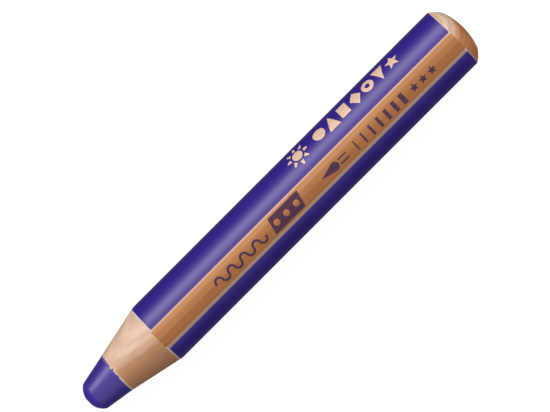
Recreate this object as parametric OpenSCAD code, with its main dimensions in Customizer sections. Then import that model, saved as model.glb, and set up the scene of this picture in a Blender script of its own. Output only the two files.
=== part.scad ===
// Thick wood-cased colour crayon. Two grooved wooden slats are glued together round a fat colour
// core. The barrel carries lacquer bands with clear-varnished wood stripes between them, and printed
// marks. It lies along X on the plane z = 0, with the tip at -X and the dome at +X.

/* [Size] */
// Diameter over the lacquer
barrel_d = 15; // [14:0.1:16]
// Length from the tip to the top of the dome
crayon_len = 112; // [108:0.5:125]
// Radius of the rear dome's rounded shoulder
dome_r = 9.05; // [8.8:0.05:10]
// Radius of the flatter cap in the middle of the dome
cap_r = 15; // [13:0.5:20]
// Height that the cap takes off the top of the dome
dome_trim = 0.75; // [0.4:0.05:0.9]
// Thickness of solid wood behind the core
closed_end_len = 8; // [6:0.5:20]

/* [Core and point] */
// Diameter of the colour core
core_d = 9.6; // [9:0.1:10.2]
// Length of core left bare in front of the wood
bare_core_len = 8.2; // [7:0.1:9.5]
// Half angle of the bare core's taper, in degrees
core_taper = 10.2; // [9:0.1:11.5]
// Half angle of the cut wood, in degrees
wood_taper = 12.1; // [11:0.1:14]
// Radius of the core's round tip
tip_r = 4.4; // [4.2:0.05:4.6]
// Height of round tip worn away, which leaves a small flat
tip_wear = 0.15; // [0:0.05:0.3]

/* [Coats] */
// Number of lacquer bands, which is also the number of wood stripes
band_count = 3; // [3:1:3]
// Width of each wood stripe, from lacquer edge to lacquer edge
stripe_w = 5.95; // [5.5:0.05:7]
// Turn of the top wood stripe from straight up, in degrees
stripe_turn = 11.4; // [9:0.2:14]
// Thickness of the colour lacquer
lacquer_t = 0.12; // [0.08:0.01:0.15]
// Thickness of the primer under the lacquer, and of the clear varnish beside it
primer_t = 0.08; // [0.06:0.01:0.1]
// Width of primer left bare along the upper edge of a stripe
margin_high = 0.5; // [0.1:0.05:0.6]
// Width of primer left bare along the lower edge of a stripe
margin_low = 0.8; // [0.1:0.05:0.9]

/* [Marks] */
// Turn of the foil marks from straight up, in degrees
foil_turn = -48; // [-52:1:-44]
// Depth of the foil's seat in the lacquer
foil_seat = 0.05; // [0.04:0.01:0.06]
// Turn of the ink marks from straight up, in degrees
ink_turn = 13; // [11:1:14]
// Thickness of the ink
ink_t = 0.03; // [0.02:0.01:0.05]

/* [Hidden] */
$fn = 96;

purple = "#3a2b80";
raw_wood = "#dcb492";
honey_varnish = "#b4793f";
primer_white = "#e3cdbd";
glue_cream = "#e6d9bd";
foil_peach = "#f2c39c";
ink_violet = "#54307a";

barrel_r = barrel_d / 2;
core_r = core_d / 2;
base_r = barrel_r - lacquer_t;   // over the primer and the varnish
wood_r = base_r - primer_t;
glue_t = 0.08;
groove_r = core_r + glue_t;
far = 2 * barrel_r;              // reaches past the barrel, for cutting shapes

// The crayon is made standing on its tip, so z here is the distance back from the tip.
dome_z = crayon_len + dome_trim - dome_r;
cap_z = crayon_len - cap_r;
core_end_z = crayon_len - closed_end_len;
primer_end_z = dome_z + sqrt(dome_r * dome_r - base_r * base_r) - 0.05;
lacquer_end_z = primer_end_z - 0.15;

stripe_angle = stripe_w / barrel_r * 180 / PI;
band_pitch = 360 / band_count;
high_angle = margin_high / barrel_r * 180 / PI;
low_angle = margin_low / barrel_r * 180 / PI;

// Distance from the tip at which the cut wood has radius r.
function cut_z(r) = bare_core_len + (r - core_r) / tan(wood_taper);

// Angle at which lacquer band i starts, just below wood stripe i.
function band_start(i) = stripe_turn + stripe_angle / 2 + i * band_pitch;

// Lays the standing crayon down. Angles then run from straight up towards -Y.
module lay_down() {
    translate([-crayon_len / 2, 0, barrel_r]) rotate([0, 90, 0]) rotate([0, 0, 180]) children();
}

// ---- Core ----

tip_slope = tan(core_taper);
tip_base = core_r - bare_core_len * tip_slope; // the taper's radius if it ran on to z = 0
tip_z = tip_r - tip_wear;
tip_sum = tip_z - tip_slope * tip_base;
tip_scale = 1 + tip_slope * tip_slope;
tip_rest = tip_base * tip_base + tip_z * tip_z - tip_r * tip_r;
// Where the round tip crosses the taper
tip_edge_z = (tip_sum - sqrt(tip_sum * tip_sum - tip_scale * tip_rest)) / tip_scale;

module color_core() {
    color(purple) lay_down() rotate_extrude() intersection() {
        polygon([
            [0, 0], [tip_base, 0], [core_r, bare_core_len], [core_r, core_end_z], [0, core_end_z]
        ]);
        union() {
            translate([0, tip_z]) circle(tip_r);
            translate([0, tip_edge_z]) square([far, crayon_len]);
        }
    }
}

// ---- Wood and glue ----

// The dome's outline, a given depth below its varnished face.
module dome_outline(depth) {
    intersection() {
        translate([0, dome_z]) circle(dome_r - depth);
        translate([0, cap_z]) circle(cap_r - depth);
    }
}

// Section of the casing from the axis out: cut cone, barrel, dome and blind channel.
module casing_section() {
    difference() {
        intersection() {
            polygon([
                [0, cut_z(0)], [wood_r, cut_z(wood_r)], [wood_r, crayon_len], [0, crayon_len]
            ]);
            union() {
                square([far, dome_z]);
                dome_outline(primer_t);
            }
        }
        square([groove_r, core_end_z + glue_t]);
    }
}

// The casing between two heights above the axis.
module slat(low, high) {
    intersection() {
        rotate_extrude() casing_section();
        translate([low, -far, 0]) cube([high - low, 2 * far, crayon_len]);
    }
}

module upper_slat() {
    color(raw_wood) lay_down() slat(glue_t / 2, far);
}

module lower_slat() {
    color(raw_wood) lay_down() slat(-far, -glue_t / 2);
}

// One film: it runs along both sides of the core and closes behind it.
module slat_glue_film() {
    color(glue_cream) lay_down() rotate([90, 0, 90]) linear_extrude(glue_t, center = true) {
        casing_section();
        mirror([1, 0]) casing_section();
    }
}

// A cup of glue round the core and across its rear face.
module core_glue_sleeve() {
    color(glue_cream) lay_down() rotate_extrude() polygon([
        [core_r, cut_z(core_r)], [groove_r, cut_z(groove_r)], [groove_r, core_end_z + glue_t],
        [0, core_end_z + glue_t], [0, core_end_z], [core_r, core_end_z]
    ]);
}

// ---- Coats ----

// Part of a coat round the barrel: cut off with the wood in front, and square at the back.
module coat(r_in, r_out, end_z, start, sweep) {
    rotate([0, 0, start]) rotate_extrude(angle = sweep) polygon([
        [r_in, cut_z(r_in)], [r_out, cut_z(r_out)], [r_out, end_z], [r_in, end_z]
    ]);
}

module primer_coat(i) {
    coat(wood_r, base_r, primer_end_z,
        band_start(i) - low_angle, band_pitch - stripe_angle + low_angle + high_angle);
}

module lacquer_coat(i) {
    coat(base_r, barrel_r, lacquer_end_z, band_start(i), band_pitch - stripe_angle);
}

module varnish_coat(i) {
    coat(wood_r, base_r, primer_end_z,
        band_start(i) - stripe_angle + high_angle, stripe_angle - high_angle - low_angle);
}

module primer_band_front() {
    color(primer_white) lay_down() primer_coat(0);
}

module primer_band_bottom() {
    color(primer_white) lay_down() primer_coat(1);
}

module primer_band_back() {
    color(primer_white) lay_down() primer_coat(2);
}

module lacquer_band_front() {
    color(purple) lay_down() lacquer_coat(0);
}

module lacquer_band_bottom() {
    color(purple) lay_down() lacquer_coat(1);
}

// The back band has a shallow seat for each foil mark.
module lacquer_band_back() {
    color(purple) lay_down() difference() {
        lacquer_coat(2);
        wrapped(foil_turn, barrel_r - foil_seat, far) sun_outline();
        wrapped(foil_turn, barrel_r - foil_seat, far) shapes_outline();
    }
}

module varnish_stripe_top() {
    color(honey_varnish) lay_down() varnish_coat(0);
}

module varnish_stripe_front() {
    color(honey_varnish) lay_down() varnish_coat(1);
}

module varnish_stripe_back() {
    color(honey_varnish) lay_down() varnish_coat(2);
}

// Section of the dome behind the coats, out to a given radius.
module dome_section(r, depth) {
    intersection() {
        translate([0, primer_end_z]) square([r, crayon_len]);
        dome_outline(depth);
    }
}

module varnish_dome() {
    color(honey_varnish) lay_down() rotate_extrude() difference() {
        dome_section(base_r, 0);
        dome_section(wood_r, primer_t);
    }
}

// ---- Marks ----

// Wraps an outline round the barrel between two radii. The outline's x is the distance from the
// tip, and its y runs across the crayon towards +Y.
module wrapped(turn, r_in, r_out) {
    rotate([0, 0, turn]) intersection() {
        rotate([0, 0, -45]) rotate_extrude(angle = 90)
            translate([r_in, bare_core_len]) square([r_out - r_in, crayon_len]);
        rotate(180, [1, 0, 1]) linear_extrude(far) children();
    }
}

// A star with one point up; inner is the radius of its notches.
module star_outline(points, r, inner) {
    polygon([
        for (i = [0 : 2 * points - 1])
            let (d = i % 2 == 0 ? r : inner, a = 90 + i * 180 / points)
                [d * cos(a), d * sin(a)]
    ]);
}

sun_x = 67.9;
sun_disc_r = 1.3;
ray_count = 8;
ray_start = 1.75;
ray_end = 2.8;
ray_w_in = 0.9;
ray_w_out = 0.35;

module sun_outline() {
    translate([sun_x, 0]) circle(sun_disc_r);
    for (i = [0 : ray_count - 1])
        translate([sun_x, 0]) rotate(i * 360 / ray_count) polygon([
            [ray_start, -ray_w_in / 2], [ray_end, -ray_w_out / 2],
            [ray_end, ray_w_out / 2], [ray_start, ray_w_in / 2]
        ]);
}

shapes_x = 74.3;
shapes_pitch = 3.6;
shape_r = 1.55;
shape_h = 4;

function shape_place(i) = [shapes_x + i * shapes_pitch, 0];

// Seven plain shapes in a row: disc, triangle, oblong, diamond, ring, triangle, star.
module shapes_outline() {
    translate(shape_place(0)) circle(shape_r);
    translate(shape_place(1))
        polygon([[-shape_r, -shape_h / 2], [shape_r, -shape_h / 2], [0, shape_h / 2]]);
    translate(shape_place(2)) square([1.6 * shape_r, 0.85 * shape_h], center = true);
    translate(shape_place(3))
        polygon([[0, -shape_h / 2], [shape_r, 0], [0, shape_h / 2], [-shape_r, 0]]);
    translate(shape_place(4)) difference() {
        circle(shape_r);
        circle(shape_r / 2.6);
    }
    translate(shape_place(5))
        polygon([[-shape_r, shape_h / 2], [0, -shape_h / 2], [shape_r, shape_h / 2]]);
    translate(shape_place(6)) star_outline(5, 1.85, 0.85);
}

// Foil lies a hair below the surface of the lacquer round it.
module foil() {
    lay_down() wrapped(foil_turn, barrel_r - foil_seat, barrel_r - 0.01) children();
}

module foil_sun() {
    color(foil_peach) foil() sun_outline();
}

module foil_shapes() {
    color(foil_peach) foil() shapes_outline();
}

module ink() {
    lay_down() wrapped(ink_turn, base_r, base_r + ink_t) children();
}

wave_x = 36.7;
wave_r = 0.92;
wave_count = 8;
wave_line = 0.5;

// A squiggle of half rings that bow up and down in turn, with round ends.
module wave_outline() {
    for (i = [0 : wave_count - 1])
        translate([wave_x + wave_r * (2 * i + 1), 0]) intersection() {
            difference() {
                circle(wave_r + wave_line / 2);
                circle(wave_r - wave_line / 2);
            }
            translate([-2, i % 2 == 0 ? 0 : -2]) square([4, 2]);
        }
    for (x = [wave_x, wave_x + 2 * wave_r * wave_count])
        translate([x, 0]) circle(wave_line / 2);
}

module ink_wave() {
    color(ink_violet) ink() wave_outline();
}

block_x = 53.1;
block_y = 0.35;
block_len = 8.6;
block_h = 3.7;
block_slant = 0.9;
window_r = 0.75;

// A slanted block with three round windows.
module block_outline() {
    translate([block_x, block_y]) difference() {
        polygon([
            [0, -block_h / 2], [block_len, -block_h / 2],
            [block_len + block_slant, block_h / 2], [block_slant, block_h / 2]
        ]);
        for (i = [0 : 2])
            translate([block_slant / 2 + block_len * (i + 0.5) / 3, 0]) circle(window_r);
    }
}

module ink_block() {
    color(ink_violet) ink() block_outline();
}

brush_x = 68;
tuft_len = 4.9;
tuft_r = 1.05;
ferrule_len = 2.4;
ferrule_y = 0.6;
ferrule_line = 0.32;

// A paint brush: a tuft that points to the tip, then the two edges of its ferrule.
module brush_outline() {
    round_x = brush_x + tuft_len - tuft_r;
    reach = tuft_len - tuft_r;
    touch = asin(tuft_r / reach); // the tuft's straight sides touch its round end here
    translate([round_x, 0]) circle(tuft_r);
    polygon([
        [brush_x, 0],
        [round_x - tuft_r * sin(touch), -tuft_r * cos(touch)],
        [round_x - tuft_r * sin(touch), tuft_r * cos(touch)]
    ]);
    for (side = [-1, 1])
        translate([brush_x + tuft_len + 0.3, side * ferrule_y - ferrule_line / 2])
            square([ferrule_len, ferrule_line]);
}

module ink_brush() {
    color(ink_violet) ink() brush_outline();
}

strokes_x = 78;
strokes_pitch = 2.25;
stroke_count = 7;
stroke_h = 2.5;
stroke_thin = 0.3;
stroke_thick = 1.1;

// Upright strokes, each broader than the last.
module strokes_outline() {
    for (i = [0 : stroke_count - 1])
        translate([strokes_x + i * strokes_pitch, -stroke_h / 2])
            square([stroke_thin + (stroke_thick - stroke_thin) * i / (stroke_count - 1), stroke_h]);
}

module ink_strokes() {
    color(ink_violet) ink() strokes_outline();
}

stars_x = 95.4;
stars_pitch = 2.6;
star_count = 3;
star_r = 1.1;

module stars_outline() {
    for (i = [0 : star_count - 1])
        translate([stars_x + i * stars_pitch, 0]) star_outline(5, star_r, 0.42 * star_r);
}

module ink_stars() {
    color(ink_violet) ink() stars_outline();
}

color_core();
upper_slat();
lower_slat();
core_glue_sleeve();
slat_glue_film();
primer_band_front();
primer_band_bottom();
primer_band_back();
lacquer_band_front();
lacquer_band_bottom();
lacquer_band_back();
varnish_stripe_top();
varnish_stripe_front();
varnish_stripe_back();
varnish_dome();
foil_sun();
foil_shapes();
ink_wave();
ink_block();
ink_brush();
ink_strokes();
ink_stars();
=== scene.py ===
import math

import bmesh
import bpy
from mathutils import Matrix, Vector, noise


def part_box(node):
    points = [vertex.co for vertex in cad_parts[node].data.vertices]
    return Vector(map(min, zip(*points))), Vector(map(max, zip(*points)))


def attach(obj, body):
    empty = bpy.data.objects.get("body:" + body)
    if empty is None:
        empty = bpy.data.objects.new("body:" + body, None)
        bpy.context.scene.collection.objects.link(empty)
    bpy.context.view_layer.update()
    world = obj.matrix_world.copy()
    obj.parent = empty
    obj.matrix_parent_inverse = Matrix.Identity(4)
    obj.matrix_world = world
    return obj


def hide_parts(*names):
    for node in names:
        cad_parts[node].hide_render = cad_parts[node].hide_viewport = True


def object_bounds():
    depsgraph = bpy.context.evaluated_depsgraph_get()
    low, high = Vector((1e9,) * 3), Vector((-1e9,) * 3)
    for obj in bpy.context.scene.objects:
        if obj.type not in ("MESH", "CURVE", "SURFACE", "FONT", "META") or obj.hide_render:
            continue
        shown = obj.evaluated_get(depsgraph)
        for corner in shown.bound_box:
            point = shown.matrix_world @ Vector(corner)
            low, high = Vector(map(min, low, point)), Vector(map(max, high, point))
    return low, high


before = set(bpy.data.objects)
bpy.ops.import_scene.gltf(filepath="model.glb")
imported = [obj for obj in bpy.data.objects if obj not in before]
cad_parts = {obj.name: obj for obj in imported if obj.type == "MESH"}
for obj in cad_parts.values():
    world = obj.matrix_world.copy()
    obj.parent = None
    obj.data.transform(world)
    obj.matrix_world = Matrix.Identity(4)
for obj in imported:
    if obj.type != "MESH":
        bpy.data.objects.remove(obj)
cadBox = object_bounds()
mm = 0.001

# the crayon lies along X with its point at -X; every place below comes from the frame's nodes
coreLow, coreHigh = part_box("color_core")
sleeveLow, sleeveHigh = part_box("core_glue_sleeve")
slatLow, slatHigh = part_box("upper_slat")
lowerLow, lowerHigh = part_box("lower_slat")
primerLow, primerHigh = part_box("primer_band_front")
bandLow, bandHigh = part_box("lacquer_band_front")
bottomLow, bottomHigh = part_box("lacquer_band_bottom")
domeLow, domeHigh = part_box("varnish_dome")

tipX = coreLow.x
axisZ = (coreLow.z + coreHigh.z) / 2
axisPoint = Vector((0, 0, axisZ))
coreRadius = (coreHigh.z - coreLow.z) / 2 / mm
grooveRadius = (sleeveHigh.z - sleeveLow.z) / 2 / mm
woodRadius = (slatHigh.z - axisZ) / mm
coatRadius = (domeHigh.z - domeLow.z) / 2 / mm         # over the primer and the varnish
barrelRadius = (axisZ - bottomLow.z) / mm
bandStart = math.acos((bandHigh.z - axisZ) / mm / barrelRadius)   # turned from straight up towards -Y
bandSweep = math.acos((bandLow.z - axisZ) / mm / barrelRadius) - bandStart
print("frame read:", round((cadBox[1].x - cadBox[0].x) / mm, 2), "mm long,", round(2 * barrelRadius, 2),
      "mm thick")


def linearColour(hexText):
    channels = [int(hexText[i:i + 2], 16) / 255 for i in (1, 3, 5)]
    return [c / 12.92 if c <= 0.04045 else ((c + 0.055) / 1.055) ** 2.4 for c in channels] + [1.0]


def addNode(tree, kind, values=None, links=None, **settings):
    node = tree.nodes.new(kind)
    for key, value in settings.items():
        setattr(node, key, value)
    for key, value in (values or {}).items():
        node.inputs[key].default_value = value
    for key, socket in (links or {}).items():
        tree.links.new(socket, node.inputs[key])
    return node


def startMaterial(name):
    material = bpy.data.materials.new(name)
    material.use_nodes = True
    tree = material.node_tree
    tree.nodes.clear()
    surface = addNode(tree, "ShaderNodeBsdfPrincipled")
    addNode(tree, "ShaderNodeOutputMaterial", links={"Surface": surface.outputs["BSDF"]})
    place = addNode(tree, "ShaderNodeTexCoord")
    # millimetres: x from the tip backwards, y and z from the crayon's axis
    spot = addNode(tree, "ShaderNodeMapping",
                   {"Location": (-tipX / mm, 0, -axisZ / mm), "Scale": (1 / mm,) * 3},
                   {"Vector": place.outputs["Object"]})
    return material, tree, surface, spot.outputs["Vector"]


# Cedar, slow grown and straight grained. Pale sapwood lies in the upper +Y corner, turned towards the
# softbox, and deeper heartwood in the rest; the pale corner is partly a painted highlight, the softbox's
# broad sheen put into the colour, and the deeper rest partly painted shade. The rings slant through the
# casing, so they are fine lines along the cone and slanting streaks over the dome.
grain = {
    "heartAndShadeFrom": 5.8,         # mm from the axis, square to the rings, where the pale sapwood and painted highlight begin to turn
    "heartAndShadeFull": 2.5,         # mm, where it is all heartwood and painted shade
    "runOut": 0.006,          # the border between them drifts outward by this share of the length
    "stretch": 0.04,          # how much slower the figure changes along the grain
    "ringSlant": 41,          # degrees from flat
    "ringSpacing": 1.3,       # mm
    "fibreSpacing": 0.42,     # mm, real fibres are finer but wouldn't show
    "poreWidth": 0.2,         # mm
}


def woodFigure(tree, spot):
    turned = addNode(tree, "ShaderNodeMapping",
                     {"Rotation": (math.radians(-grain["ringSlant"]), 0, 0),
                      "Scale": (grain["stretch"], 1, 1)},
                     {"Vector": spot})
    rings = addNode(tree, "ShaderNodeTexWave",
                    {"Scale": 0.314 / grain["ringSpacing"], "Distortion": 1.6, "Detail": 2.0,
                     "Detail Scale": 0.5, "Detail Roughness": 0.5},
                    {"Vector": turned.outputs["Vector"]},
                    wave_type="BANDS", bands_direction="Y", wave_profile="SIN")
    fibres = addNode(tree, "ShaderNodeTexNoise",
                     {"Scale": 1 / grain["fibreSpacing"], "Detail": 3.0, "Roughness": 0.6},
                     {"Vector": turned.outputs["Vector"]})
    poreSpot = addNode(tree, "ShaderNodeMapping", {"Scale": (0.09, 1, 1)}, {"Vector": spot})
    poreCells = addNode(tree, "ShaderNodeTexNoise",
                        {"Scale": 1 / grain["poreWidth"], "Detail": 1.0, "Roughness": 0.5},
                        {"Vector": poreSpot.outputs["Vector"]})
    pores = addNode(tree, "ShaderNodeMapRange", {"From Min": 0.60, "From Max": 0.74},
                    {"Value": poreCells.outputs["Fac"]})
    clouds = addNode(tree, "ShaderNodeTexNoise", {"Scale": 0.5, "Detail": 2.0, "Roughness": 0.5},
                     {"Vector": turned.outputs["Vector"]})
    across = addNode(tree, "ShaderNodeSeparateXYZ", links={"Vector": turned.outputs["Vector"]})
    drift = addNode(tree, "ShaderNodeMath", {1: 2.4, 2: -1.2}, {0: clouds.outputs["Fac"]},
                    operation="MULTIPLY_ADD")
    skewed = addNode(tree, "ShaderNodeMath", {1: -grain["runOut"] / grain["stretch"]},
                     {0: across.outputs["X"], 2: across.outputs["Y"]}, operation="MULTIPLY_ADD")
    wandering = addNode(tree, "ShaderNodeMath", links={0: skewed.outputs[0], 1: drift.outputs[0]},
                        operation="ADD")
    # mask from pale sapwood on the side facing the softbox (painted highlight) to heartwood (partly painted
    # shade)
    heartAndShade = addNode(tree, "ShaderNodeMapRange",
                    {"From Min": grain["heartAndShadeFrom"], "From Max": grain["heartAndShadeFull"]},
                    {"Value": wandering.outputs[0]}, interpolation_type="SMOOTHSTEP")
    return {"rings": rings.outputs["Fac"], "fibres": fibres.outputs["Fac"], "clouds": clouds.outputs["Fac"],
            "pores": pores.outputs["Result"], "heartAndShade": heartAndShade.outputs["Result"]}


def woodColour(tree, figure, look):
    # pale where the wood faces the softbox, deeper elsewhere: partly painted highlight and painted shade
    body = addNode(tree, "ShaderNodeMix",
                   {6: linearColour(look["sapwoodAndSheen"]), 7: linearColour(look["heartwoodAndShade"])},
                   {0: figure["heartAndShade"]}, data_type="RGBA")
    ringPart = addNode(tree, "ShaderNodeMath", {1: look["ringShare"]}, {0: figure["rings"]},
                       operation="MULTIPLY")
    streaks = addNode(tree, "ShaderNodeMath", {1: look["fibreShare"]},
                      {0: figure["fibres"], 2: ringPart.outputs[0]},
                      operation="MULTIPLY_ADD", use_clamp=True)
    late = addNode(tree, "ShaderNodeMix", {7: linearColour(look["latewood"])},
                   {0: streaks.outputs[0], 6: body.outputs[2]}, data_type="RGBA")
    poreFade = addNode(tree, "ShaderNodeMath", {1: look["poreShare"]}, {0: figure["pores"]},
                       operation="MULTIPLY")
    return addNode(tree, "ShaderNodeMix", {7: linearColour(look["pore"])},
                   {0: poreFade.outputs[0], 6: late.outputs[2]}, data_type="RGBA").outputs[2]


# Where the core meets the wood the sharpener drags wax over the first fibres, further on the +Y side,
# and leaves a rim of pale dust behind it.
waxDrag = {"wax": "#35207F", "dust": "#E6CFC2", "reach": 0.25, "ragged": 1.6, "lean": 0.1, "dustWidth": 0.5}


def dragWax(tree, spot, ground):
    along = addNode(tree, "ShaderNodeSeparateXYZ", links={"Vector": spot})
    stretched = addNode(tree, "ShaderNodeMapping", {"Scale": (0.5, 1, 1)}, {"Vector": spot})
    fray = addNode(tree, "ShaderNodeTexNoise", {"Scale": 2.0, "Detail": 3.0, "Roughness": 0.65},
                   {"Vector": stretched.outputs["Vector"]})
    coreEnd = (sleeveLow.x - tipX) / mm
    start = coreEnd + waxDrag["reach"] - waxDrag["ragged"] / 2
    edge = addNode(tree, "ShaderNodeMath", {1: waxDrag["ragged"], 2: start}, {0: fray.outputs["Fac"]},
                   operation="MULTIPLY_ADD")
    leaning = addNode(tree, "ShaderNodeMath", {1: waxDrag["lean"]},
                      {0: along.outputs["Y"], 2: edge.outputs[0]}, operation="MULTIPLY_ADD")
    past = addNode(tree, "ShaderNodeMath", links={0: leaning.outputs[0], 1: along.outputs["X"]},
                   operation="SUBTRACT")
    dusty = addNode(tree, "ShaderNodeMapRange",
                    {"From Min": -waxDrag["dustWidth"], "From Max": -0.3 * waxDrag["dustWidth"],
                     "To Max": 0.6},
                    {"Value": past.outputs[0]})
    waxy = addNode(tree, "ShaderNodeMapRange", {"From Min": -0.05, "From Max": 0.08, "To Max": 0.92},
                   {"Value": past.outputs[0]})
    dusted = addNode(tree, "ShaderNodeMix", {7: linearColour(waxDrag["dust"])},
                     {0: dusty.outputs["Result"], 6: ground}, data_type="RGBA")
    return addNode(tree, "ShaderNodeMix", {7: linearColour(waxDrag["wax"])},
                   {0: waxy.outputs["Result"], 6: dusted.outputs[2]}, data_type="RGBA").outputs[2]


# Bare cedar as the sharpener leaves it: dry and matt, with open pores along the grain. Its pale sapwood
# towards the softbox is partly a painted highlight, its deeper heartwood partly painted shade.
bareCedar = {
    "sapwoodAndSheen": "#ECC9AE", "heartwoodAndShade": "#C38759", "latewood": "#AD7650", "pore": "#8A5C40",
    "ringShare": 0.22, "fibreShare": 0.2, "poreShare": 0.3,
}


def makeBareCedar():
    material, tree, surface, spot = startMaterial("cutCedar")
    figure = woodFigure(tree, spot)
    tree.links.new(dragWax(tree, spot, woodColour(tree, figure, bareCedar)), surface.inputs["Base Color"])
    relief = addNode(tree, "ShaderNodeMath", {1: -0.8}, {0: figure["pores"], 2: figure["fibres"]},
                     operation="MULTIPLY_ADD")
    bump = addNode(tree, "ShaderNodeBump", {"Strength": 0.5, "Distance": 0.03 * mm},
                   {"Height": relief.outputs[0]})
    tree.links.new(bump.outputs["Normal"], surface.inputs["Normal"])
    surface.inputs["Roughness"].default_value = 0.6
    surface.inputs["Specular IOR Level"].default_value = 0.9
    return material


# The same cedar under clear varnish: deeper and warmer, with a soft satin face. The dome is end grain
# and shows its streaks more. On both, the pale sapwood on the side facing the softbox is partly a painted
# highlight, very pale on the dome's rounded end, and the deeper heartwood partly painted shade.
stripeVarnish = {
    "sapwoodAndSheen": "#D2955E", "heartwoodAndShade": "#AF6E36", "latewood": "#94582C", "pore": "#7C4A2B",
    "ringShare": 0.3, "fibreShare": 0.28, "poreShare": 0.3,
}
domeVarnish = {
    "sapwoodAndSheen": "#F4DABF", "heartwoodAndShade": "#C9814B", "latewood": "#A0643A", "pore": "#7C4A2B",
    "ringShare": 0.28, "fibreShare": 0.32, "poreShare": 0.15,
}


def makeVarnishedCedar(name, look):
    material, tree, surface, spot = startMaterial(name)
    figure = woodFigure(tree, spot)
    tree.links.new(woodColour(tree, figure, look), surface.inputs["Base Color"])
    bump = addNode(tree, "ShaderNodeBump", {"Strength": 0.25, "Distance": 0.015 * mm},
                   {"Height": figure["fibres"]})
    tree.links.new(bump.outputs["Normal"], surface.inputs["Normal"])
    gloss = addNode(tree, "ShaderNodeMapRange", {"To Min": 0.38, "To Max": 0.5},
                    {"Value": figure["clouds"]})
    tree.links.new(gloss.outputs["Result"], surface.inputs["Roughness"])
    return material


# Sprayed nitro lacquer over wood: a satin skin that the grain beneath draws into faint lengthwise waves.
violetLacquer = {"colour": "#1F0678", "worn": "#280E86", "sheen": "#F6DCFF", "waveWidth": 0.9,
                 "peelWidth": 0.7}


def makeVioletLacquer():
    material, tree, surface, spot = startMaterial("sprayedLacquer")
    stretched = addNode(tree, "ShaderNodeMapping", {"Scale": (0.05, 1, 1)}, {"Vector": spot})
    waves = addNode(tree, "ShaderNodeTexNoise",
                    {"Scale": 1 / violetLacquer["waveWidth"], "Detail": 3.0, "Roughness": 0.55},
                    {"Vector": stretched.outputs["Vector"]})
    peel = addNode(tree, "ShaderNodeTexNoise", {"Scale": 1 / violetLacquer["peelWidth"], "Detail": 2.0},
                   {"Vector": spot})
    colour = addNode(tree, "ShaderNodeMix",
                     {6: linearColour(violetLacquer["colour"]), 7: linearColour(violetLacquer["worn"])},
                     {0: waves.outputs["Fac"]}, data_type="RGBA")
    tree.links.new(colour.outputs[2], surface.inputs["Base Color"])
    relief = addNode(tree, "ShaderNodeMath", {1: 0.35}, {0: peel.outputs["Fac"], 2: waves.outputs["Fac"]},
                     operation="MULTIPLY_ADD")
    bump = addNode(tree, "ShaderNodeBump", {"Strength": 0.5, "Distance": 0.012 * mm},
                   {"Height": relief.outputs[0]})
    tree.links.new(bump.outputs["Normal"], surface.inputs["Normal"])
    gloss = addNode(tree, "ShaderNodeMapRange", {"To Min": 0.36, "To Max": 0.46},
                    {"Value": peel.outputs["Fac"]})
    tree.links.new(gloss.outputs["Result"], surface.inputs["Roughness"])
    surface.inputs["Specular Tint"].default_value = linearColour(violetLacquer["sheen"])
    surface.inputs["Coat Weight"].default_value = 0.7
    surface.inputs["Coat Roughness"].default_value = 0.35
    return material


# Wax bound with pigment, turned to a point: a dull shine with fine rings left by the cutter. The
# rounded tip is rubbed to a richer colour.
crayonWax = {
    "colour": "#2A1280", "pale": "#361C90", "rubbed": "#3A1FAC", "rubbedTo": 1.9,    # mm from the tip
    "ringWidth": 0.3, "sheen": "#D4C8FF",
}


def makeCrayonWax():
    material, tree, surface, spot = startMaterial("turnedWax")
    squashed = addNode(tree, "ShaderNodeMapping", {"Scale": (1, 0.12, 0.12)}, {"Vector": spot})
    rings = addNode(tree, "ShaderNodeTexNoise", {"Scale": 1 / crayonWax["ringWidth"], "Detail": 2.0},
                    {"Vector": squashed.outputs["Vector"]})
    mottle = addNode(tree, "ShaderNodeTexNoise", {"Scale": 1.3, "Detail": 4.0, "Roughness": 0.65},
                     {"Vector": spot})
    turned = addNode(tree, "ShaderNodeMix",
                     {6: linearColour(crayonWax["colour"]), 7: linearColour(crayonWax["pale"])},
                     {0: mottle.outputs["Fac"]}, data_type="RGBA")
    along = addNode(tree, "ShaderNodeSeparateXYZ", links={"Vector": spot})
    ragged = addNode(tree, "ShaderNodeMath", {1: 0.8}, {0: mottle.outputs["Fac"], 2: along.outputs["X"]},
                     operation="MULTIPLY_ADD")
    rubbed = addNode(tree, "ShaderNodeMapRange",
                     {"From Min": crayonWax["rubbedTo"] + 0.5, "From Max": crayonWax["rubbedTo"]},
                     {"Value": ragged.outputs[0]})
    colour = addNode(tree, "ShaderNodeMix", {7: linearColour(crayonWax["rubbed"])},
                     {0: rubbed.outputs["Result"], 6: turned.outputs[2]}, data_type="RGBA")
    tree.links.new(colour.outputs[2], surface.inputs["Base Color"])
    relief = addNode(tree, "ShaderNodeMath", {1: 0.6}, {0: rings.outputs["Fac"], 2: mottle.outputs["Fac"]},
                     operation="MULTIPLY_ADD")
    bump = addNode(tree, "ShaderNodeBump", {"Strength": 0.5, "Distance": 0.02 * mm},
                   {"Height": relief.outputs[0]})
    tree.links.new(bump.outputs["Normal"], surface.inputs["Normal"])
    surface.inputs["Roughness"].default_value = 0.38
    surface.inputs["IOR"].default_value = 1.62     # packed with pigment
    surface.inputs["Specular Tint"].default_value = linearColour(crayonWax["sheen"])
    surface.inputs["Coat Weight"].default_value = 1.0
    surface.inputs["Coat Roughness"].default_value = 0.4
    return material


# Thin pale undercoat: chalky, with the wood's colour coming through. It is paler on the side facing the
# softbox and deeper elsewhere: partly painted highlight and painted shade.
paleUndercoat = {"sapwoodAndSheen": "#D8AA99", "heartwoodAndShade": "#BA947F", "thick": "#D8C4C2", "endReach": 0.42}


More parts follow.
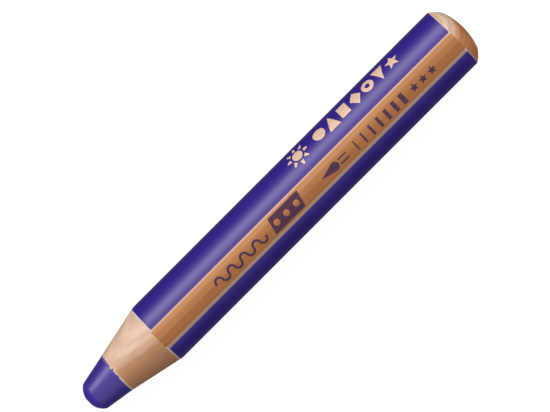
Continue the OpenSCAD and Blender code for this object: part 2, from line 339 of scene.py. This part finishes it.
def makeUndercoat():
    material, tree, surface, spot = startMaterial("chalkyUndercoat")
    figure = woodFigure(tree, spot)
    thin = addNode(tree, "ShaderNodeMix",
                   {6: linearColour(paleUndercoat["sapwoodAndSheen"]), 7: linearColour(paleUndercoat["heartwoodAndShade"])},
                   {0: figure["heartAndShade"]}, data_type="RGBA")
    # it lies thicker and whiter at both ends of the barrel
    along = addNode(tree, "ShaderNodeSeparateXYZ", links={"Vector": spot})
    middle = (primerLow.x + primerHigh.x) / 2 - tipX
    fromMiddle = addNode(tree, "ShaderNodeMath", {1: middle / mm}, {0: along.outputs["X"]},
                         operation="SUBTRACT")
    distance = addNode(tree, "ShaderNodeMath", links={0: fromMiddle.outputs[0]}, operation="ABSOLUTE")
    half = (primerHigh.x - primerLow.x) / 2 / mm
    reach = paleUndercoat["endReach"]
    ends = addNode(tree, "ShaderNodeMapRange", {"From Min": half - reach, "From Max": half - reach / 2},
                   {"Value": distance.outputs[0]})
    colour = addNode(tree, "ShaderNodeMix", {7: linearColour(paleUndercoat["thick"])},
                     {0: ends.outputs["Result"], 6: thin.outputs[2]}, data_type="RGBA")
    tree.links.new(colour.outputs[2], surface.inputs["Base Color"])
    bump = addNode(tree, "ShaderNodeBump", {"Strength": 0.4, "Distance": 0.02 * mm},
                   {"Height": figure["fibres"]})
    tree.links.new(bump.outputs["Normal"], surface.inputs["Normal"])
    surface.inputs["Roughness"].default_value = 0.7
    return material


# Wood glue, set: pale, slightly glassy, stained by the wood beside it.
setGlue = {"colour": "#E0C6AA", "deep": "#CBA988"}


def makeSetGlue():
    material, tree, surface, spot = startMaterial("setWoodGlue")
    cells = addNode(tree, "ShaderNodeTexNoise", {"Scale": 1.8, "Detail": 3.0}, {"Vector": spot})
    colour = addNode(tree, "ShaderNodeMix",
                     {6: linearColour(setGlue["colour"]), 7: linearColour(setGlue["deep"])},
                     {0: cells.outputs["Fac"]}, data_type="RGBA")
    tree.links.new(dragWax(tree, spot, colour.outputs[2]), surface.inputs["Base Color"])
    surface.inputs["Roughness"].default_value = 0.5
    return material


# Hot-stamped pigment foil: a dry peach film, thin enough to break up over the lacquer's grain.
stampedFoil = {"colour": "#E8C4A8", "thin": "#BE8E84", "breakWidth": 0.35}


def makeStampedFoil():
    material, tree, surface, spot = startMaterial("hotStampedFoil")
    cells = addNode(tree, "ShaderNodeTexNoise",
                    {"Scale": 1 / stampedFoil["breakWidth"], "Detail": 3.0, "Roughness": 0.6},
                    {"Vector": spot})
    breaks = addNode(tree, "ShaderNodeMapRange", {"From Min": 0.52, "From Max": 0.75},
                     {"Value": cells.outputs["Fac"]})
    colour = addNode(tree, "ShaderNodeMix",
                     {6: linearColour(stampedFoil["colour"]), 7: linearColour(stampedFoil["thin"])},
                     {0: breaks.outputs["Result"]}, data_type="RGBA")
    tree.links.new(colour.outputs[2], surface.inputs["Base Color"])
    surface.inputs["Metallic"].default_value = 0.1
    surface.inputs["Roughness"].default_value = 0.45
    return material


# Pad-printed ink on varnish: flat and dull, a little starved over the grain.
printedInk = {"colour": "#451A3E", "starved": "#67383E"}


def makePrintedInk():
    material, tree, surface, spot = startMaterial("padPrintedInk")
    figure = woodFigure(tree, spot)
    starved = addNode(tree, "ShaderNodeMapRange", {"From Min": 0.5, "From Max": 0.8},
                      {"Value": figure["fibres"]})
    colour = addNode(tree, "ShaderNodeMix",
                     {6: linearColour(printedInk["colour"]), 7: linearColour(printedInk["starved"])},
                     {0: starved.outputs["Result"]}, data_type="RGBA")
    tree.links.new(colour.outputs[2], surface.inputs["Base Color"])
    surface.inputs["Roughness"].default_value = 0.55
    return material


cutCedar = makeBareCedar()
stripeCedar = makeVarnishedCedar("varnishedCedar", stripeVarnish)
domeCedar = makeVarnishedCedar("varnishedEndGrain", domeVarnish)
sprayedLacquer = makeVioletLacquer()
turnedWax = makeCrayonWax()
chalkyUndercoat = makeUndercoat()
setWoodGlue = makeSetGlue()
hotStampedFoil = makeStampedFoil()
padPrintedInk = makePrintedInk()
print("materials ready:", len(bpy.data.materials))


def sectionSpot(x, radius):
    return Vector((tipX + x * mm, 0, axisZ + radius * mm))   # straight up from the axis


def drawLine(bm, start, x, radius, parts=1):
    first, last = start.co.copy(), sectionSpot(x, radius)
    for part in range(parts):
        point = bm.verts.new(first.lerp(last, (part + 1) / parts))
        bm.edges.new((start, point))
        start = point
    return start


def drawArc(bm, start, centreX, angle, steps):
    made = bmesh.ops.spin(bm, geom=[start], cent=sectionSpot(centreX, 0), axis=(0, 1, 0), angle=angle,
                          steps=steps)
    return [item for item in made["geom_last"] if isinstance(item, bmesh.types.BMVert)][0]


def turnOnAxis(bm, steps):
    bmesh.ops.spin(bm, geom=bm.verts[:] + bm.edges[:], cent=axisPoint, axis=(1, 0, 0),
                   angle=2 * math.pi, steps=steps, use_merge=True)
    bmesh.ops.remove_doubles(bm, verts=bm.verts, dist=0.0005 * mm)
    bmesh.ops.recalc_face_normals(bm, faces=bm.faces)


def finishPiece(bm, name, material, nodeNames, sharpFrom=35):
    openEdges = sum(1 for edge in bm.edges if len(edge.link_faces) != 2)
    mesh = bpy.data.meshes.new(name)
    bm.to_mesh(mesh)
    bm.free()
    for polygon in mesh.polygons:
        polygon.use_smooth = True
    mesh.set_sharp_from_angle(angle=math.radians(sharpFrom))
    mesh.materials.append(material)
    piece = bpy.data.objects.new(name, mesh)
    bpy.context.scene.collection.objects.link(piece)
    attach(piece, "root")
    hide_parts(*nodeNames)
    print("made", name, len(mesh.polygons), "faces,", openEdges, "open edges")
    return piece


def radiusOf(vert):
    return math.hypot(vert.co.y, vert.co.z - axisZ) / mm


# The dome: a flatter cap on a rounder shoulder, both centred on the axis.
dome = {"shoulderRadius": 9.05, "capRadius": 15, "trim": 0.75, "steps": 14, "softened": 0.9}


def drawDome(bm, depth, rimRadius):
    top = (domeHigh.x - tipX) / mm
    shoulderX = top + dome["trim"] - dome["shoulderRadius"]
    capX = top - dome["capRadius"]
    shoulder = dome["shoulderRadius"] - depth
    cap = dome["capRadius"] - depth
    gap = shoulderX - capX
    meet = (gap ** 2 + cap ** 2 - shoulder ** 2) / (2 * gap)
    meetRadius = math.sqrt(cap ** 2 - meet ** 2)
    apex = bm.verts.new(sectionSpot(top - depth, 0))
    crease = drawArc(bm, apex, capX, -math.asin(meetRadius / cap), dome["steps"])
    sweep = math.asin(rimRadius / shoulder) - math.asin(meetRadius / shoulder)
    return drawArc(bm, crease, shoulderX, -sweep, dome["steps"]), meetRadius


def softenCrease(bm, meetRadius):
    ring = [v for v in bm.verts if abs(radiusOf(v) - meetRadius) < dome["softened"] and v.co.x > domeLow.x]
    for _ in range(5):
        bmesh.ops.smooth_vert(bm, verts=ring, factor=0.5, use_axis_x=True, use_axis_y=False,
                              use_axis_z=False)


# Clear varnish over the dome: one closed shell with an outer and an inner face.
def makeDomeVarnish():
    bm = bmesh.new()
    edge = (domeLow.x - tipX) / mm
    outerRim, outerMeet = drawDome(bm, 0, coatRadius)
    innerRim, innerMeet = drawDome(bm, coatRadius - woodRadius, woodRadius)
    outerEdge = drawLine(bm, outerRim, edge, coatRadius)
    innerEdge = drawLine(bm, outerEdge, edge, woodRadius)
    bm.edges.new((innerEdge, innerRim))
    turnOnAxis(bm, casing["steps"])
    softenCrease(bm, (outerMeet + innerMeet) / 2)
    return finishPiece(bm, "domeVarnish", domeCedar, ["varnish_dome"])


# The colour core: a blunt round tip worn slightly flat, a taper, and a plain rod inside the wood.
colourCore = {"tipRadius": 4.4, "tipWear": 0.15, "taper": 10.2, "steps": 144, "waver": 0.018,
              "leanAtTip": 0.2}


def makeColourCore():
    bm = bmesh.new()
    bareEnd = (sleeveLow.x - tipX) / mm
    rearEnd = (coreHigh.x - tipX) / mm
    tipRadius = colourCore["tipRadius"]
    centreX = tipRadius - colourCore["tipWear"]
    slope = math.tan(math.radians(colourCore["taper"]))
    base = coreRadius - bareEnd * slope      # the taper's radius if it ran on to the tip
    half = (centreX - slope * base) / (1 + slope ** 2)
    shoulderX = half - math.sqrt(half ** 2 - (base ** 2 + centreX ** 2 - tipRadius ** 2) / (1 + slope ** 2))
    sweep = math.acos((centreX - shoulderX) / tipRadius) - math.acos(centreX / tipRadius)
    tip = bm.verts.new(sectionSpot(0, 0))
    flatRim = drawLine(bm, tip, 0, math.sqrt(tipRadius ** 2 - centreX ** 2), parts=4)
    shoulder = drawArc(bm, flatRim, centreX, sweep, 16)
    bareRim = drawLine(bm, shoulder, bareEnd, coreRadius, parts=24)
    rearRim = drawLine(bm, bareRim, rearEnd, coreRadius)
    drawLine(bm, rearRim, rearEnd, 0)
    turnOnAxis(bm, colourCore["steps"])
    blunt = [v for v in bm.verts if (v.co.x - tipX) / mm < shoulderX + 0.3]
    for _ in range(2):
        bmesh.ops.smooth_vert(bm, verts=blunt, factor=0.5, use_axis_x=True, use_axis_y=True,
                              use_axis_z=True)
    for vert in bm.verts:
        x, radius = (vert.co.x - tipX) / mm, radiusOf(vert)
        if x < bareEnd - 0.1 and radius > 0.3:
            spot = vert.co / mm
            push = noise.noise(Vector((spot.x * 0.6, spot.y * 0.5, spot.z * 0.5)))
            outward = Vector((0, vert.co.y, vert.co.z - axisZ)).normalized()
            vert.co += outward * push * colourCore["waver"] * mm
        vert.co.y -= max(0, 1 - x / bareEnd) * colourCore["leanAtTip"] * mm     # cut a little off the axis
    return finishPiece(bm, "waxCore", turnedWax, ["color_core"])


# The wooden casing, turned as one and sawn into its two slats along the glue line.
casing = {"steps": 192, "coneParts": 36, "fibreLift": 0.022, "rimFray": 0.11}


def makeSlat(name, nodeName, side):
    bm = bmesh.new()
    coneFront = (slatLow.x - tipX) / mm
    coneRear = (primerLow.x - tipX) / mm
    grooveEnd = (sleeveHigh.x - tipX) / mm
    domeRim, meetRadius = drawDome(bm, coatRadius - woodRadius, woodRadius)
    coneRim = drawLine(bm, domeRim, coneRear, woodRadius)
    lip = drawLine(bm, coneRim, coneFront, grooveRadius, parts=casing["coneParts"])
    grooveBack = drawLine(bm, lip, grooveEnd, grooveRadius)
    drawLine(bm, grooveBack, grooveEnd, 0)
    turnOnAxis(bm, casing["steps"])
    softenCrease(bm, meetRadius)
    for vert in bm.verts:
        x, radius = (vert.co.x - tipX) / mm, radiusOf(vert)
        spot = vert.co / mm
        if radius > grooveRadius + 0.02 and x < coneRear - 0.05:
            outward = Vector((0, vert.co.y, vert.co.z - axisZ)).normalized()
            lift = noise.noise(Vector((spot.x * 0.1, spot.y * 1.6, spot.z * 1.6))) * casing["fibreLift"]
            vert.co += outward * lift * mm
        if x < coneFront + 0.05:
            fray = noise.noise(Vector((spot.x, spot.y * 1.3, spot.z * 1.3)))
            vert.co.x += abs(fray) * casing["rimFray"] * mm
    jointHeight = (slatLow if side > 0 else lowerHigh).z
    cut = bmesh.ops.bisect_plane(bm, geom=bm.verts[:] + bm.edges[:] + bm.faces[:],
                                 plane_co=(0, 0, jointHeight),
                                 plane_no=(0, 0, side), clear_inner=True, dist=0.0001 * mm)
    rim = [item for item in cut["geom_cut"] if isinstance(item, bmesh.types.BMEdge)]
    bmesh.ops.contextual_create(bm, geom=rim)
    bmesh.ops.recalc_face_normals(bm, faces=bm.faces)
    return finishPiece(bm, name, cutCedar, [nodeName])


# Lacquer bands: thin curved skins with soft edges, cut off with the wood at the front.
lacquerBand = {"lengthCuts": 44, "steps": 48, "edgeRound": 0.05, "drift": 0.006}


def makeLacquerBand(name, nodeName, number):
    low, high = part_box(nodeName)
    front, rear = (low.x - tipX) / mm, (high.x - tipX) / mm
    frontSlope = (woodRadius - grooveRadius) / ((primerLow.x - slatLow.x) / mm)
    outerFront = front + (barrelRadius - coatRadius) / frontSlope
    bm = bmesh.new()
    corners = [sectionSpot(front, coatRadius), sectionSpot(outerFront, barrelRadius),
               sectionSpot(rear, barrelRadius), sectionSpot(rear, coatRadius)]
    face = bm.faces.new([bm.verts.new(corner) for corner in corners])
    longEdges = [edge for edge in face.edges if edge.calc_length() > 10 * mm]
    bmesh.ops.subdivide_edges(bm, edges=longEdges, cuts=lacquerBand["lengthCuts"], use_grid_fill=True)
    start = bandStart + number * math.radians(120)
    bmesh.ops.rotate(bm, verts=bm.verts, cent=axisPoint, matrix=Matrix.Rotation(start, 3, "X"))
    bmesh.ops.spin(bm, geom=bm.verts[:] + bm.edges[:] + bm.faces[:], cent=axisPoint, axis=(1, 0, 0),
                   angle=bandSweep, steps=lacquerBand["steps"])
    bmesh.ops.recalc_face_normals(bm, faces=bm.faces)
    corner = [edge for edge in bm.edges
              if len(edge.link_faces) == 2 and edge.calc_face_angle() > math.radians(50)
              and all(radiusOf(v) > barrelRadius - 0.01 for v in edge.verts)]
    bmesh.ops.bevel(bm, geom=corner, affect="EDGES", offset=lacquerBand["edgeRound"] * mm, segments=3,
                    profile=0.5, material=-1)
    for vert in bm.verts:
        if radiusOf(vert) > barrelRadius - 0.02:
            spot = vert.co / mm
            outward = Vector((0, vert.co.y, vert.co.z - axisZ)).normalized()
            dip = noise.noise(Vector((spot.x * 0.15, spot.y * 0.8, spot.z * 0.8))) - 0.6
            vert.co += outward * dip * lacquerBand["drift"] * mm
    return finishPiece(bm, name, sprayedLacquer, [nodeName])


makeColourCore()
makeSlat("upperSlat", "upper_slat", 1)
makeSlat("lowerSlat", "lower_slat", -1)
makeDomeVarnish()
makeLacquerBand("frontBand", "lacquer_band_front", 0)
makeLacquerBand("bottomBand", "lacquer_band_bottom", 1)

dressing = {
    "lacquer_band_back": sprayedLacquer,
    "core_glue_sleeve": setWoodGlue, "slat_glue_film": setWoodGlue,
    "primer_band_front": chalkyUndercoat, "primer_band_bottom": chalkyUndercoat,
    "primer_band_back": chalkyUndercoat,
    "varnish_stripe_top": stripeCedar, "varnish_stripe_front": stripeCedar,
    "varnish_stripe_back": stripeCedar,
    "foil_sun": hotStampedFoil, "foil_shapes": hotStampedFoil,
    "ink_wave": padPrintedInk, "ink_block": padPrintedInk, "ink_brush": padPrintedInk,
    "ink_strokes": padPrintedInk, "ink_stars": padPrintedInk,
}
for nodeName, material in dressing.items():
    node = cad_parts[nodeName]
    for slot in node.material_slots:
        slot.material = material
print("dressed", len(dressing), "nodes")

# A pale glowing table, a soft overhead glow that fades towards the horizon, and one softbox from +Y.
studio = {
    "tableRadius": 1.7, "coveRadius": 0.5, "wallHeight": 1.0, "tableColour": "#6C6C6C", "tableGlow": 0.92,
    "overhead": 0.68, "around": 0.1, "overheadTint": "#FFFFFF", "aroundTint": "#F2F2FF",
    "softboxTurn": 51, "softboxDistance": 0.9, "softboxWidth": 0.36, "softboxLength": 1.2,
    "softboxPower": 5.75,
    "fillHeight": 25, "fillDistance": 0.9, "fillWidth": 0.6, "fillPower": 1.7,
}


def hangLamp(name, size, power, offset):
    lamp = bpy.data.lights.new(name, "AREA")
    lamp.shape = "RECTANGLE"
    lamp.size, lamp.size_y = size
    lamp.energy = power
    hung = bpy.data.objects.new(name, lamp)
    hung.location = axisPoint + offset
    hung.rotation_euler = offset.to_track_quat("Z", "Y").to_euler()
    bpy.context.scene.collection.objects.link(hung)


def makeStudio():
    table, tree, surface, spot = startMaterial("opalLightTable")
    cells = addNode(tree, "ShaderNodeTexNoise", {"Scale": 0.02, "Detail": 2.0}, {"Vector": spot})
    haze = addNode(tree, "ShaderNodeMapRange", {"To Min": 0.55, "To Max": 0.65},
                   {"Value": cells.outputs["Fac"]})
    tree.links.new(haze.outputs["Result"], surface.inputs["Roughness"])
    surface.inputs["Base Color"].default_value = linearColour(studio["tableColour"])
    surface.inputs["Emission Color"].default_value = (1, 1, 1, 1)
    surface.inputs["Emission Strength"].default_value = studio["tableGlow"]
    surface.inputs["Specular IOR Level"].default_value = 0.0
    # a round table that sweeps up into a wall
    reach, cove = studio["tableRadius"], studio["coveRadius"]
    bm = bmesh.new()
    middle, foot = bm.verts.new((0, 0, 0)), bm.verts.new((reach, 0, 0))
    bm.edges.new((middle, foot))
    swept = bmesh.ops.spin(bm, geom=[foot], cent=(reach, 0, cove), axis=(0, 1, 0), angle=-math.pi / 2,
                           steps=12)
    crest = [item for item in swept["geom_last"] if isinstance(item, bmesh.types.BMVert)][0]
    bm.edges.new((crest, bm.verts.new((reach + cove, 0, cove + studio["wallHeight"]))))
    bmesh.ops.spin(bm, geom=bm.verts[:] + bm.edges[:], cent=(0, 0, 0), axis=(0, 0, 1), angle=2 * math.pi,
                   steps=64, use_merge=True)
    bmesh.ops.remove_doubles(bm, verts=bm.verts, dist=0.0001)
    bmesh.ops.recalc_face_normals(bm, faces=bm.faces)
    mesh = bpy.data.meshes.new("lightTable")
    bm.to_mesh(mesh)
    bm.free()
    mesh.materials.append(table)
    top = bpy.data.objects.new("lightTable", mesh)
    top.visible_glossy = False    # the table is there to be looked at, and doesn't light the crayon
    top.visible_diffuse = False
    top.visible_shadow = False
    bpy.context.scene.collection.objects.link(top)

    world = bpy.data.worlds.new("paleRoom")
    world.use_nodes = True
    tree = world.node_tree
    direction = addNode(tree, "ShaderNodeTexCoord")
    height = addNode(tree, "ShaderNodeSeparateXYZ", links={"Vector": direction.outputs["Generated"]})
    rise = addNode(tree, "ShaderNodeMapRange", {"From Min": -0.1, "From Max": 0.6},
                   {"Value": height.outputs["Z"]})
    glow = addNode(tree, "ShaderNodeMapRange", {"To Min": studio["around"], "To Max": studio["overhead"]},
                   {"Value": rise.outputs["Result"]})
    tint = addNode(tree, "ShaderNodeMix",
                   {6: linearColour(studio["aroundTint"]), 7: linearColour(studio["overheadTint"])},
                   {0: rise.outputs["Result"]}, data_type="RGBA")
    tree.links.new(tint.outputs[2], tree.nodes["Background"].inputs["Color"])
    tree.links.new(glow.outputs["Result"], tree.nodes["Background"].inputs["Strength"])
    bpy.context.scene.world = world

    turn = math.radians(studio["softboxTurn"])
    hangLamp("softbox", (studio["softboxLength"], studio["softboxWidth"]), studio["softboxPower"],
             Vector((0, math.sin(turn), math.cos(turn))) * studio["softboxDistance"])
    rise = math.radians(studio["fillHeight"])     # a lower one behind the dome
    hangLamp("rearFill", (studio["fillWidth"], studio["fillWidth"]), studio["fillPower"],
             Vector((math.cos(rise), 0, math.sin(rise))) * studio["fillDistance"])


# Long lens straight above, turned so that the crayon runs up to the right.
camera = {"lens": 300, "sensor": 36, "turn": 45.0, "viewWidth": 0.11635, "upward": 0.00176,
          "sideways": -0.0002}


def makeCamera():
    data = bpy.data.cameras.new("overhead")
    data.lens = camera["lens"]
    data.sensor_width = camera["sensor"]
    data.clip_end = 10
    overhead = bpy.data.objects.new("overhead", data)
    turn = math.radians(camera["turn"])
    right = Vector((math.cos(turn), -math.sin(turn), 0))
    up = Vector((math.sin(turn), math.cos(turn), 0))
    middle = Vector(((cadBox[0].x + cadBox[1].x) / 2, 0, axisZ))
    distance = camera["viewWidth"] * camera["lens"] / camera["sensor"]
    aim = middle + up * camera["upward"] + right * camera["sideways"]
    overhead.location = aim + Vector((0, 0, distance))
    overhead.rotation_euler = (0, 0, -turn)
    bpy.context.scene.collection.objects.link(overhead)
    bpy.context.scene.camera = overhead


makeStudio()
makeCamera()
bpy.context.scene.view_settings.view_transform = "Standard"
bpy.context.view_layer.update()
print("studio and camera ready")
